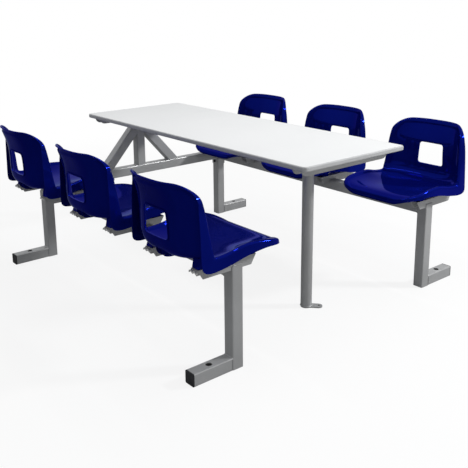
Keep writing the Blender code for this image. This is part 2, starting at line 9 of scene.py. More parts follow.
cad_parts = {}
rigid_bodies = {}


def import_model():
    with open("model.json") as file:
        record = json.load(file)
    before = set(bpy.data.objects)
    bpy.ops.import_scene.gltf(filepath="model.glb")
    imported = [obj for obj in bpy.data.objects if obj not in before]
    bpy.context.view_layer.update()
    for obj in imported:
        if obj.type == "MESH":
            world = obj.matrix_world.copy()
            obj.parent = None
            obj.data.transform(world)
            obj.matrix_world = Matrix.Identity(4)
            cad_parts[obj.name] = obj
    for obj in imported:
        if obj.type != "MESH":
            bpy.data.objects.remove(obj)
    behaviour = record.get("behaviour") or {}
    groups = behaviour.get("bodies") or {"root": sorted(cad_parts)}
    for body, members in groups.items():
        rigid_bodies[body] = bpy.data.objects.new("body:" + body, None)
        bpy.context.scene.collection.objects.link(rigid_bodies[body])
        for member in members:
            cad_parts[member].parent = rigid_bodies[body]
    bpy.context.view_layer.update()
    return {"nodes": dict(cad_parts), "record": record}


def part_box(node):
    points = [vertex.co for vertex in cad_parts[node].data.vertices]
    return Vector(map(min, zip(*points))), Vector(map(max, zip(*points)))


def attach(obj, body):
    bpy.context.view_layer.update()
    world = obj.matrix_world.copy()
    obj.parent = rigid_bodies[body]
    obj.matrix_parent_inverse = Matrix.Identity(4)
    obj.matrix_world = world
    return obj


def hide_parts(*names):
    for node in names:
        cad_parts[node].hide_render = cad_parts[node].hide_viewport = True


for startItem in list(bpy.data.objects):
    bpy.data.objects.remove(startItem)
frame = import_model()
scene = bpy.context.scene
print("frame loaded:", len(frame["nodes"]), "nodes")


# small tools

tiny = 1e-9
quarterTurn = math.pi / 2


def addObject(name, data):
    made = bpy.data.objects.new(name, data)
    scene.collection.objects.link(made)
    return made


def meshOf(name, bm):
    mesh = bpy.data.meshes.new(name)
    bm.to_mesh(mesh)
    bm.free()
    return mesh


def plainMesh(item, name):
    # the evaluated shape as a mesh of its own, with the helper object taken away
    bpy.context.view_layer.update()
    graph = bpy.context.evaluated_depsgraph_get()
    mesh = bpy.data.meshes.new_from_object(item.evaluated_get(graph))
    mesh.name = name
    bpy.data.objects.remove(item)
    return mesh


def smoothMesh(mesh, angle=40):
    mesh.shade_smooth()
    mesh.set_sharp_from_angle(angle=math.radians(angle))


def addPiece(name, mesh, slot, *nodes):
    piece = addObject(name, mesh)
    mesh.materials.clear()
    mesh.materials.append(finishes[slot])
    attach(piece, "root")
    if nodes:
        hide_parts(*nodes)


def addNode(tree, kind, inputs, **options):
    # a node with its inputs linked where a socket is given, and set where a value is
    made = tree.nodes.new(kind)
    for option, value in options.items():
        setattr(made, option, value)
    for label, source in inputs.items():
        if isinstance(source, bpy.types.NodeSocket):
            tree.links.new(source, made.inputs[label])
        else:
            made.inputs[label].default_value = source
    return made


def ringQuads(rings):
    # the four corners of every face between neighbouring closed rings
    for one, two in zip(rings, rings[1:]):
        for k in range(len(one)):
            after = (k + 1) % len(one)
            yield one[k], one[after], two[after], two[k]


def addRings(bm, rings):
    # a closed body from rings of points, with a cap at each end
    rows = [[bm.verts.new(spot) for spot in ring] for ring in rings]
    for corners in ringQuads(rows):
        bm.faces.new(corners)
    bm.faces.new(list(reversed(rows[0])))
    bm.faces.new(rows[-1])


def turnedRing(radius, height, sides):
    turns = [2 * math.pi * k / sides for k in range(sides)]
    return [(radius * math.cos(turn), radius * math.sin(turn), height) for turn in turns]


# finishes

finishSettings = {
    # white sheet with a very fine pearl texture and faint use marks
    "laminate": {
        "name": "whiteLaminate",
        "shader": {"Roughness": 0.34},
        "base": {
            "scale": 3, "detail": 5,
            "stops": ((0.30, (0.800, 0.806, 0.808)), (0.70, (0.828, 0.832, 0.832))),
        },
        "specks": {
            "scale": 900, "detail": 2,
            "stops": ((0.30, (0.770, 0.778, 0.780)), (0.60, (0.836, 0.840, 0.840))),
        },
        "speckShare": {"scale": 30, "detail": 2, "span": (0.20, 0.40)},
        "roughness": {"scale": 9, "detail": 6, "span": (0.28, 0.40)},
        "bumps": ({"scale": 1100, "detail": 2, "strength": 0.06, "distance": 0.0002},),
    },
    "edging": {
        "name": "greyEdging",
        "shader": {"Roughness": 0.45},
        "base": {
            "scale": 14, "detail": 4,
            "stops": ((0.30, (0.480, 0.486, 0.492)), (0.70, (0.540, 0.546, 0.550))),
        },
        "roughness": {"scale": 60, "detail": 3, "span": (0.38, 0.52)},
        "bumps": ({"scale": 800, "detail": 2, "strength": 0.08, "distance": 0.0003},),
    },
    # silver-grey powder coat: flake, faint clouding and orange peel
    "painted_steel": {
        "name": "silverGreyPaint",
        "shader": {"Roughness": 0.42, "Metallic": 0.40},
        "base": {
            "scale": 5, "detail": 4,
            "stops": ((0.30, (0.389, 0.394, 0.397)), (0.70, (0.470, 0.475, 0.478))),
        },
        "specks": {
            "scale": 1500, "detail": 2,
            "stops": ((0.35, (0.356, 0.360, 0.363)), (0.66, (0.527, 0.531, 0.535))),
        },
        "speckShare": {"scale": 60, "detail": 2, "span": (0.30, 0.50)},
        "roughness": {"scale": 40, "detail": 4, "span": (0.36, 0.48)},
        "bumps": (
            {"scale": 420, "detail": 2, "strength": 0.10, "distance": 0.0006},
            {"scale": 2600, "detail": 1, "strength": 0.06, "distance": 0.0002},
        ),
    },
    # gloss polypropylene with faint flow marks and a moulded grain
    # a share of metal and the tint turn its gloss blue
    "blue_plastic": {
        "name": "royalBluePlastic",
        "shader": {
            "Roughness": 0.06, "Metallic": 0.45,
            "Specular IOR Level": 0.02, "Specular Tint": (0.25, 0.35, 1.0, 1.0),
        },
        "base": {
            "scale": 7, "detail": 5, "stretch": (1.0, 0.6, 0.6),
            "stops": ((0.25, (0.0017, 0.0052, 0.1436)), (0.75, (0.0026, 0.0078, 0.1783))),
        },
        "roughness": {"scale": 18, "detail": 5, "span": (0.04, 0.09)},
        "bumps": (
            {"scale": 26, "detail": 2, "strength": 0.05, "distance": 0.002},
            {"scale": 1400, "detail": 2, "strength": 0.05, "distance": 0.0002},
        ),
    },
    "black_plastic": {
        "name": "blackCapPlastic",
        "shader": {"Roughness": 0.5, "Specular IOR Level": 0.15},
        "base": {
            "scale": 40, "detail": 3,
            "stops": ((0.30, (0.021, 0.021, 0.024)), (0.70, (0.042, 0.042, 0.045))),
        },
        "roughness": {"scale": 120, "detail": 3, "span": (0.42, 0.60)},
        "bumps": ({"scale": 1300, "detail": 2, "strength": 0.15, "distance": 0.0004},),
    },
    "dark_steel": {
        "name": "blackOxide",
        "shader": {"Roughness": 0.4, "Metallic": 0.7},
        "base": {
            "scale": 160, "detail": 3,
            "stops": ((0.30, (0.018, 0.018, 0.019)), (0.70, (0.045, 0.044, 0.043))),
        },
        "roughness": {"scale": 300, "detail": 3, "span": (0.32, 0.50)},
        "bumps": (),
    },
    "zinc": {
        "name": "zincPlate",
        "shader": {"Roughness": 0.42, "Metallic": 0.55},
        "base": {
            "scale": 220, "detail": 3,
            "stops": ((0.30, (0.64, 0.64, 0.63)), (0.70, (0.76, 0.76, 0.75))),
        },
        "roughness": {"scale": 380, "detail": 3, "span": (0.36, 0.52)},
        "bumps": ({"scale": 900, "detail": 2, "strength": 0.08, "distance": 0.0003},),
    },
}
# the part of the noise that a span covers, and the colour sockets of a mix node
noiseSpan = (0.3, 0.7)
mixSocket = {"share": 0, "first": 6, "second": 7, "result": 2}


class FinishMaker:
    # one material with its noise, ramps and bump on object coordinates

    def __init__(self, name, shader):
        self.material = bpy.data.materials.new(name)
        self.material.use_nodes = True
        self.tree = self.material.node_tree
        self.shader = self.tree.nodes["Principled BSDF"]
        for label, value in shader.items():
            self.shader.inputs[label].default_value = value
        self.coords = addNode(self.tree, "ShaderNodeTexCoord", {})

    def noise(self, layer):
        stretched = addNode(self.tree, "ShaderNodeMapping", {
            "Vector": self.coords.outputs["Object"], "Scale": layer.get("stretch", (1, 1, 1))})
        made = addNode(self.tree, "ShaderNodeTexNoise", {
            "Vector": stretched.outputs["Vector"],
            "Scale": layer["scale"], "Detail": layer["detail"]})
        return made.outputs["Fac"]

    def ramp(self, layer):
        made = addNode(self.tree, "ShaderNodeValToRGB", {"Fac": self.noise(layer)})
        for point, (place, colour) in zip(made.color_ramp.elements, layer["stops"]):
            point.position = place
            point.color = (*colour, 1.0)
        return made.outputs["Color"]

    def span(self, layer):
        low, high = layer["span"]
        made = addNode(self.tree, "ShaderNodeMapRange", {
            "Value": self.noise(layer), "From Min": noiseSpan[0], "From Max": noiseSpan[1],
            "To Min": low, "To Max": high})
        return made.outputs["Result"]

    def mixColours(self, share, first, second):
        made = addNode(self.tree, "ShaderNodeMix", {
            mixSocket["share"]: share, mixSocket["first"]: first, mixSocket["second"]: second,
        }, data_type="RGBA")
        return made.outputs[mixSocket["result"]]

    def bump(self, layer, under):
        inputs = {"Height": self.noise(layer)}
        inputs.update({"Strength": layer["strength"], "Distance": layer["distance"]})
        if under is not None:
            inputs["Normal"] = under
        return addNode(self.tree, "ShaderNodeBump", inputs).outputs["Normal"]

    def feed(self, label, source):
        self.tree.links.new(source, self.shader.inputs[label])


def makeFinish(finish):
    maker = FinishMaker(finish["name"], finish["shader"])
    colour = maker.ramp(finish["base"])
    if "specks" in finish:
        share = maker.span(finish["speckShare"])
        colour = maker.mixColours(share, colour, maker.ramp(finish["specks"]))
    maker.feed("Base Color", colour)
    maker.feed("Roughness", maker.span(finish["roughness"]))
    normal = None
    for layer in finish["bumps"]:
        normal = maker.bump(layer, normal)
    if normal is not None:
        maker.feed("Normal", normal)
    return maker.material


finishes = {slot: makeFinish(finish) for slot, finish in finishSettings.items()}
slotOf = {entry["node"]: entry["material_slot"] for entry in frame["record"]["subparts"]}
for nodeName, node in frame["nodes"].items():
    node.data.materials.clear()
    node.data.materials.append(finishes[slotOf[nodeName]])
    smoothMesh(node.data)
print("finishes made:", len(finishes))


# seat shells

seatShell = {
    "depth": 0.467,
    "width": 0.445,
    # shares of the depth: reach and height of centre line, crest and hem
    # last, a share of the width: half width
    "stations": (
        (-0.435, 0.034, -0.435, 0.034, -0.424, 0.027, 0.449),
        (-0.413, 0.066, -0.415, 0.069, -0.404, 0.052, 0.467),
        (-0.347, 0.088, -0.349, 0.105, -0.345, 0.066, 0.494),
        (-0.203, 0.088, -0.201, 0.135, -0.203, 0.075, 0.500),
        (-0.011, 0.077, -0.008, 0.146, -0.012, 0.056, 0.500),
        (0.161, 0.073, 0.160, 0.116, 0.161, 0.021, 0.500),
        (0.300, 0.071, 0.285, 0.111, 0.321, 0.002, 0.500),
        (0.405, 0.074, 0.308, 0.150, 0.407, 0.026, 0.500),
        (0.460, 0.108, 0.320, 0.206, 0.424, 0.107, 0.492),
        (0.479, 0.188, 0.328, 0.272, 0.424, 0.214, 0.487),
        (0.482, 0.364, 0.343, 0.373, 0.424, 0.360, 0.479),
        (0.501, 0.493, 0.362, 0.493, 0.423, 0.488, 0.467),
        (0.565, 0.662, 0.400, 0.655, 0.409, 0.643, 0.444),
    ),
    "stationSteps": 40,
    "evenSteps": 800,
    "smoothing": 0.016,
    "backShare": 0.4,
    "wall": 0.004,
    "dishPower": 3,
    "roll": 0.010,
    "rollShare": 0.8,
    "flare": 0.002,
    "frontCorner": 0.095,
    "backCorner": 0.062,
    "cornerSteps": 12,
    "rowStep": 0.009,
    "columnParts": 24,
    "innerColumns": 20,
    "patchColumns": 12,
    "edgeShares": (0.862, 0.888, 0.912, 0.936, 0.958, 0.980, 1.0),
    "rollSteps": 7,
    "skirtSteps": 4,
    "beadHeight": 0.0040,
    "beadInner": 0.0190,
    "beadOuter": 0.0130,
    "sharpAngle": 42,
}
handHole = {
    "width": 0.138,
    "bottom": 0.098,
    "top": 0.204,
    "spread": 0.006,
    "corner": 0.016,
    "margin": 0.028,
    "rings": 6,
    "lip": 0.004,
    "lipSteps": 5,
    "lipDepth": 0.012,
}


class ShellForm:
    # the shell's surface: x across, and arc length from the front edge to the top of the back

    lineColumn, crestColumn, hemColumn, widthColumn = 0, 2, 4, 6

    def __init__(self, shell):
        self.shell = shell
        self.trim = shell["roll"] + shell["flare"]
        even, values = self.evenCurve()
        # evens out the bends between stations, with the two ends held
        reach = int(shell["smoothing"] / (even[1] - even[0]))
        window = np.hanning(2 * reach + 3)[1:-1]
        padded = [
            np.concatenate((2 * c[0] - c[reach:0:-1], c, 2 * c[-1] - c[-2:-reach - 2:-1]))
            for c in values
        ]
        self.values = np.array([np.convolve(c, window / window.sum(), "valid") for c in padded])
        self.arc = self.arcOf(self.values)
        slopes = np.gradient(self.values[:2], self.arc, axis=1)
        self.slopes = slopes / np.hypot(*slopes)
        self.length = self.arc[-1]

    def arcOf(self, values):
        # distance along the centre line
        return np.concatenate(([0], np.cumsum(np.hypot(*np.diff(values[:2], axis=1)))))

    def evenCurve(self):
        # a Catmull-Rom curve through the stations, in even steps of its centre line
        shell = self.shell
        scale = [shell["depth"]] * self.widthColumn + [shell["width"]]
        stations = np.array(shell["stations"]) * scale
        first = 2 * stations[0] - stations[1]
        last = 2 * stations[-1] - stations[-2]
        ends = np.vstack((first, stations, last))
        samples = []
        for k in range(1, len(stations)):
            before, one, two, after = ends[k - 1:k + 3]
            bend = 2 * before - 5 * one + 4 * two - after
            twist = 3 * one - before - 3 * two + after
            for t in np.linspace(0, 1, shell["stationSteps"], endpoint=False):
                samples.append(one + 0.5 * ((two - before) * t + bend * t ** 2 + twist * t ** 3))
        samples.append(stations[-1])
        values = np.array(samples).T
        arc = self.arcOf(values)
        even = np.linspace(0, arc[-1], shell["evenSteps"])
        return even, [np.interp(even, arc, column) for column in values]

    def at(self, place, column):
        return float(np.interp(place, self.arc, self.values[column]))

    def directions(self, place):
        y = float(np.interp(place, self.arc, self.slopes[0]))
        z = float(np.interp(place, self.arc, self.slopes[1]))
        along = Vector((0, y, z)).normalized()
        return along, Vector((0, -along.z, along.y))

    def side(self, place, turn):
        corner = self.shell["frontCorner"] if turn < 0 else self.shell["backCorner"]
        return self.at(place, self.widthColumn) - self.trim - corner * (1 - math.cos(turn))

    def spot(self, place, column):
        return Vector((0, self.at(place, column), self.at(place, column + 1)))

    def skirt(self, place):
        return self.spot(place, self.hemColumn) - self.spot(place, self.crestColumn)

    def placeOfHeight(self, height):
        reaches, heights = self.values[:2]
        back = reaches > self.shell["backShare"] * self.shell["depth"]
        return float(np.interp(height, heights[back], self.arc[back]))

    def placeOfReach(self, reach):
        return float(np.interp(reach, self.values[self.lineColumn], self.arc))

    def bead(self, room):
        # the rim stands a little proud of the pan inside it
        shell = self.shell
        share = (shell["beadInner"] - room) / (shell["beadInner"] - shell["beadOuter"])
        share = min(1.0, max(0.0, share))
        return shell["beadHeight"] * (share * share * (3 - 2 * share) - 0.5)

    def point(self, x, place, room=1.0):
        _, facing = self.directions(place)
        share = abs(x / self.side(place, 0)) ** self.shell["dishPower"]
        middle = self.spot(place, self.lineColumn)
        found = middle.lerp(self.spot(place, self.crestColumn), share) + facing * self.bead(room)
        found.x = x
        return found


def shellRows(form, low, high):
    # place and corner turn of each row, with the hand hole's patch between two of them
    shell = form.shell
    front, back = shell["frontCorner"], shell["backCorner"]
    quarter = [quarterTurn * k / shell["cornerSteps"] for k in range(shell["cornerSteps"] + 1)]
    rows = [(front * (1 - math.cos(turn)), turn - quarterTurn) for turn in quarter]
    stops = (front, low, high, form.length - back)
    for start, end in zip(stops, stops[1:]):
        count = max(1, round((end - start) / shell["rowStep"]))
        rows += [(start + (end - start) * (k + 1) / count, 0.0) for k in range(count)]
    rows += [(form.length - back * (1 - math.sin(turn)), turn) for turn in quarter[1:]]
    return rows


def gridLoop(low, high, left, right):
    # once round a block of the grid
    loop = [(low, j) for j in range(left, right)]
    loop += [(i, right) for i in range(low, high)]
    loop += [(high, j) for j in range(right, left, -1)]
    loop += [(i, left) for i in range(high, low, -1)]
    return loop


def holeOutline(p, q, halfWidth, halfHeight, corner):
    # a point on the edge of the square -1..1, carried to the hole's rounded outline
    x = p * halfWidth
    y = q * halfHeight
    coreX = max(corner - halfWidth, min(halfWidth - corner, x))
    coreY = max(corner - halfHeight, min(halfHeight - corner, y))
    gap = math.hypot(x - coreX, y - coreY)
    if gap < tiny:
        return x, y
    return coreX + corner * (x - coreX) / gap, coreY + corner * (y - coreY) / gap


def lipRings(bm, form, goals, centre):
    # from the hole's outline round its lip to the back
    hole = handHole
    inward = []
    for k in range(len(goals)):
        before = goals[k - 1]
        after = goals[(k + 1) % len(goals)]
        along = Vector((after[0] - before[0], after[1] - before[1])).normalized()
        inward.append((-along.y, along.x))
    rings = []
    for step in range(1, hole["lipSteps"] + 2):
        turn = quarterTurn * min(1, step / hole["lipSteps"])
        back = hole["lip"] * (1 - math.cos(turn))
        if step > hole["lipSteps"]:
            back = hole["lipDepth"] - form.shell["wall"]
        ring = []
        for (goalX, goalY), (inX, inY) in zip(goals, inward):
            along, facing = form.directions(centre + goalY)
            start = form.point(goalX, centre + goalY)
            across = (Vector((inX, 0, 0)) + along * inY) * (hole["lip"] * math.sin(turn))
            ring.append(bm.verts.new(start + across - facing * back))
        rings.append(ring)
    return rings


def edgeRings(bm, form, starts):
    # from the grid's edge over the roll and down the skirt
    shell = form.shell
    rings = []
    for step in range(1, shell["rollSteps"] + shell["skirtSteps"] + 1):
        angle = quarterTurn * min(1, step / shell["rollSteps"])
        share = max(0, step - shell["rollSteps"]) / shell["skirtSteps"]
        across = shell["roll"] * math.sin(angle) + shell["flare"] * share
        ring = []
        for start, place, turn, sign in starts:
            along, _ = form.directions(place)
            out = along * math.sin(turn) + Vector((sign * math.cos(turn), 0, 0))
            skirt = form.skirt(place)
            roll = min(shell["roll"], skirt.length * shell["rollShare"])
            down = roll * (1 - math.cos(angle)) + (skirt.length - roll) * share
            ring.append(bm.verts.new(start.co + out * across + skirt.normalized() * down))
        rings.append(ring)
    return rings


def shellSheet(form):
    shell = form.shell
    hole = handHole
    bottom = form.placeOfHeight(hole["bottom"])
    top = form.placeOfHeight(hole["top"])
    low = bottom - hole["margin"]
    high = top + hole["margin"]
    rows = shellRows(form, low, high)
    inner = [k / shell["columnParts"] for k in range(1, shell["innerColumns"] + 1)]
    inner += shell["edgeShares"]
    columns = [-share for share in reversed(inner)] + [0] + inner
    lastRow = len(rows) - 1
    lastColumn = len(columns) - 1
    bm = bmesh.new()
    grid = []
    spots = []
    for place, turn in rows:
        width = form.side(place, turn)
        spots.append([(share * width, place) for share in columns])
        line = []
        for x, _ in spots[-1]:
            room = min(width - abs(x), place, form.length - place)
            line.append(bm.verts.new(form.point(x, place, room)))
        grid.append(line)

    middle = len(inner)
    left = middle - shell["patchColumns"]
    right = middle + shell["patchColumns"]
    lowRow = min(range(len(rows)), key=lambda i: abs(rows[i][0] - low))
    highRow = min(range(len(rows)), key=lambda i: abs(rows[i][0] - high))
    for i in range(lastRow):
        for j in range(lastColumn):
            if lowRow <= i < highRow and left <= j < right:
                continue
            bm.faces.new((grid[i][j], grid[i][j + 1], grid[i + 1][j + 1], grid[i + 1][j]))

    # rings that lead from the grid to the hand hole
    loop = gridLoop(lowRow, highRow, left, right)
    centre = (bottom + top) / 2
    halfHeight = (top - bottom) / 2 + hole["lip"]
    goals = []
    for i, j in loop:
        p = (j - middle) / shell["patchColumns"]
        q = 2 * (i - lowRow) / (highRow - lowRow) - 1
        halfWidth = hole["width"] / 2 + hole["lip"] - q * hole["spread"] / 2
        goals.append(holeOutline(p, q, halfWidth, halfHeight, hole["corner"]))
    rings = [[grid[i][j] for i, j in loop]]
    for step in range(1, hole["rings"] + 1):
        share = step / hole["rings"]
        ring = []
        for (i, j), (goalX, goalY) in zip(loop, goals):
            x, place = spots[i][j]
            goalPlace = centre + goalY
            ring.append(bm.verts.new(form.point(
                x + (goalX - x) * share, place + (goalPlace - place) * share)))
        rings.append(ring)
    rings += lipRings(bm, form, goals, centre)
    for corners in ringQuads(rings):
        bm.faces.new(corners)

    # the rolled edge and the skirt behind it
    edge = gridLoop(0, lastRow, 0, lastColumn)
    starts = [(grid[i][j], *rows[i], (j == lastColumn) - (j == 0)) for i, j in edge]
    rings = [[start[0] for start in starts]] + edgeRings(bm, form, starts)
    for one, oneAfter, twoAfter, two in ringQuads(rings):
        bm.faces.new((one, two, twoAfter, oneAfter))
    return meshOf("shellSheet", bm)


fixingLug = {
    "width": 0.038,
    "length": 0.040,
    "reaches": tuple(share * seatShell["depth"] for share in (-0.118, 0.321)),
    "spacing": 0.290,
    "head": 0.002,
    "neck": 0.006,
    "foot": 0.0003,
    "taper": 0.003,
    "chamfer": 0.0015,
    "steps": 6,
}
underRib = {
    "places": (-0.018, 0.0, 0.018),
    "start": 0.040,
    "end": 0.216,
    "head": 0.0015,
    "toe": 0.0005,
    "depth": 0.014,
    "half": 0.0016,
    "toeShare": 0.6,
    "riseRate": 4,
    "fallRate": 9,
    "steps": 34,
}


def addLug(bm, form, x, reach):
    # a block: its head is inside the shell's wall, its foot flat on the bearer
    lug = fixingLug
    halfWidth = lug["width"] / 2
    halfLength = lug["length"] / 2
    rim = []
    corners = ((-1, -1), (1, -1), (1, 1), (-1, 1))
    for one, two in zip(corners, corners[1:] + corners[:1]):
        for step in range(lug["steps"]):
            share = step / lug["steps"]
            rim.append((one[0] + (two[0] - one[0]) * share, one[1] + (two[1] - one[1]) * share))
    rim.reverse()
    rings = []
    for spread, depth in ((lug["taper"], lug["head"]), (0, lug["head"] + lug["neck"])):
        ring = []
        for p, q in rim:
            place = form.placeOfReach(reach + q * (halfLength + spread))
            _, facing = form.directions(place)
            ring.append(form.point(x + p * (halfWidth + spread), place) - facing * depth)
        rings.append(ring)
    for inset, rise in ((0, lug["chamfer"]), (lug["chamfer"], 0)):
        rings.append([
            (x + p * (halfWidth - inset), reach + q * (halfLength - inset), lug["foot"] + rise)
            for p, q in rim
        ])
    addRings(bm, rings)


def addRib(bm, form, x):
    # a thin web under the pan that fades out at both ends
    rib = underRib
    start = form.placeOfReach(rib["start"])
    end = form.placeOfReach(rib["end"])
    rings = []
    for step in range(rib["steps"] + 1):
        share = step / rib["steps"]
        place = start + (end - start) * share
        _, facing = form.directions(place)
        fade = min(1, share * rib["riseRate"], (1 - share) * rib["fallRate"])
        depth = form.shell["wall"] + rib["toe"] + rib["depth"] * fade
        toe = rib["toeShare"]
        corners = ((-1, rib["head"]), (1, rib["head"]), (toe, depth), (-toe, depth))
        rings.append([
            form.point(x + side * rib["half"], place) - facing * down for side, down in corners])
    addRings(bm, rings)


def makeShell():
    form = ShellForm(seatShell)
    sheet = addObject("shellSheet", shellSheet(form))
    wall = sheet.modifiers.new("wall", "SOLIDIFY")
    wall.thickness = seatShell["wall"]
    wall.offset = -1
    wall.use_even_offset = True
    mesh = plainMesh(sheet, "seatShell")
    extra = bmesh.new()
    for side in (-1, 1):
        for reach in fixingLug["reaches"]:
            addLug(extra, form, side * fixingLug["spacing"] / 2, reach)
    for x in underRib["places"]:
        addRib(extra, form, x)
    bmesh.ops.recalc_face_normals(extra, faces=extra.faces)
    extraMesh = meshOf("shellExtras", extra)
    bm = bmesh.new()
    bm.from_mesh(mesh)
    bm.from_mesh(extraMesh)
    bpy.data.meshes.remove(extraMesh)
    bm.to_mesh(mesh)
    bm.free()
    smoothMesh(mesh, seatShell["sharpAngle"])
    return mesh


shellMesh = makeShell()
beamLow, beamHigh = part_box("seat_beam_right")
rowOffset = (beamLow.y + beamHigh.y) / 2
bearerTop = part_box("bearer_near_right_a")[1].z
seatNames = [(seat, row) for row in ("left", "right") for seat in ("far", "middle", "near")]
seatPlaces = []
for seat, row in seatNames:
    low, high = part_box("seat_shell_" + seat + "_" + row)
    sign = 1 if row == "right" else -1
    turn = Matrix.Rotation(0 if sign > 0 else math.pi, 4, "Z")
    spot = ((low.x + high.x) / 2, sign * rowOffset, bearerTop)
    seatPlaces.append(Matrix.Translation(spot) @ turn)
    mesh = shellMesh.copy()
    mesh.transform(seatPlaces[-1])
    name = "bucketSeat" + seat.capitalize() + row.capitalize()
    addPiece(name, mesh, "blue_plastic", "seat_shell_" + seat + "_" + row)
print("seat shells made:", len(seatPlaces), "with", len(shellMesh.polygons), "faces each")
bpy.data.meshes.remove(shellMesh)


# welds, bolts and clips, grown by geometry nodes

def nodeTree(name, settings):
    tree = bpy.data.node_groups.new(name, "GeometryNodeTree")
    for way in ("INPUT", "OUTPUT"):
        tree.interface.new_socket("Geometry", in_out=way, socket_type="NodeSocketGeometry")
    for label, (kind, _) in settings.items():
        tree.interface.new_socket(label, in_out="INPUT", socket_type=kind)
    return tree, tree.nodes.new("NodeGroupInput")


def endTree(tree, source, finish):
    plain = addNode(tree, "GeometryNodeRealizeInstances", {"Geometry": source})
    painted = addNode(tree, "GeometryNodeSetMaterial", {
        "Geometry": plain.outputs[0], "Material": finish})
    addNode(tree, "NodeGroupOutput", {"Geometry": painted.outputs[0]})


def growMesh(name, points, edges, tree, settings):
    carrier = bpy.data.meshes.new(name)
    carrier.from_pydata(points, edges, [])
    item = addObject(name, carrier)
    modifier = item.modifiers.new(name, "NODES")
    modifier.node_group = tree
    for socket in tree.interface.items_tree:
        if socket.in_out == "INPUT" and socket.name in settings:
            modifier[socket.identifier] = settings[socket.name][1]
    return plainMesh(item, name)


weldBead = {
    "radius": 0.0022,
    "sides": 8,
    "pitch": 0.0035,
    "ripple": 0.0012,
    "rippleScale": 380.0,
    "rippleDetail": 1.0,
    "corner": 0.004,
    "cornerSteps": 3,
    "braceToe": 0.0675,
    "floorGap": 0.003,
    "beamInset": 0.006,
    "legSides": 32,
    "sharpAngle": 75,
}


def roundLoop(low, high):
    # a rounded square in the plane where the two corners agree, as a list of points
    flat = [k for k in range(3) if abs(high[k] - low[k]) < tiny][0]
    first, second = [k for k in range(3) if k != flat]
    corner = weldBead["corner"]
    points = []
    for turn, (one, two) in enumerate(((1, 1), (0, 1), (0, 0), (1, 0))):
        for step in range(weldBead["cornerSteps"] + 1):
            angle = quarterTurn * (turn + step / weldBead["cornerSteps"])
            spot = [0, 0, 0]
            spot[flat] = low[flat]
            for axis, end, lean in ((first, one, math.cos(angle)), (second, two, math.sin(angle))):
                middle = high[axis] - corner if end else low[axis] + corner
                spot[axis] = middle + corner * lean
            points.append(tuple(spot))
    return points


def footRun(low, high, side):
    # up one side of a foot, over its top and down the other
    corner = weldBead["corner"]
    floor = weldBead["floorGap"]
    return [
        (low.x, side, floor), (low.x, side, high.z - corner), (low.x + corner, side, high.z),
        (high.x - corner, side, high.z), (high.x, side, high.z - corner), (high.x, side, floor),
    ]


def weldPaths():
    # closed loops round the tubes' ends, and open runs along the feet and bearers
    loops = []
    runs = []
    for row in ("left", "right"):
        beamLow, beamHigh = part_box("seat_beam_" + row)
        for x in (beamLow.x, beamHigh.x):
            loops.append(roundLoop((x, beamLow.y, beamLow.z), (x, beamHigh.y, beamHigh.z)))
        low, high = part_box("cross_beam")
        side = high.y if row == "right" else low.y
        loops.append(roundLoop((low.x, side, low.z), (high.x, side, high.z)))
        low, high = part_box("pedestal_brace_" + row)
        toe = high.y - weldBead["braceToe"] if row == "right" else low.y
        loops.append(roundLoop((low.x, toe, low.z), (high.x, toe + weldBead["braceToe"], low.z)))
        for end in ("far", "near"):
            low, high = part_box("foot_" + end + "_" + row)
            runs.append(footRun(low, high, low.y if row == "right" else high.y))
        start = beamLow.y + weldBead["beamInset"]
        stop = beamHigh.y - weldBead["beamInset"]
        for seat in ("far", "middle", "near"):
            for letter in ("a", "b"):
                low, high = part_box("bearer_" + seat + "_" + row + "_" + letter)
                for x in (low.x, high.x):
                    runs.append([(x, start, beamHigh.z), (x, stop, beamHigh.z)])
    low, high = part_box("pedestal_upright")
    for height in (low.z, high.z):
        loops.append(roundLoop((low.x, low.y, height), (high.x, high.y, height)))
    low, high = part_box("table_leg")
    middle = (low + high) / 2
    half = (high - low) / 2
    for height in (low.z, high.z):
        loops.append([
            (middle.x + half.x * x, middle.y + half.y * y, height)
            for x, y, _ in turnedRing(1, height, weldBead["legSides"])
        ])
    return loops, runs


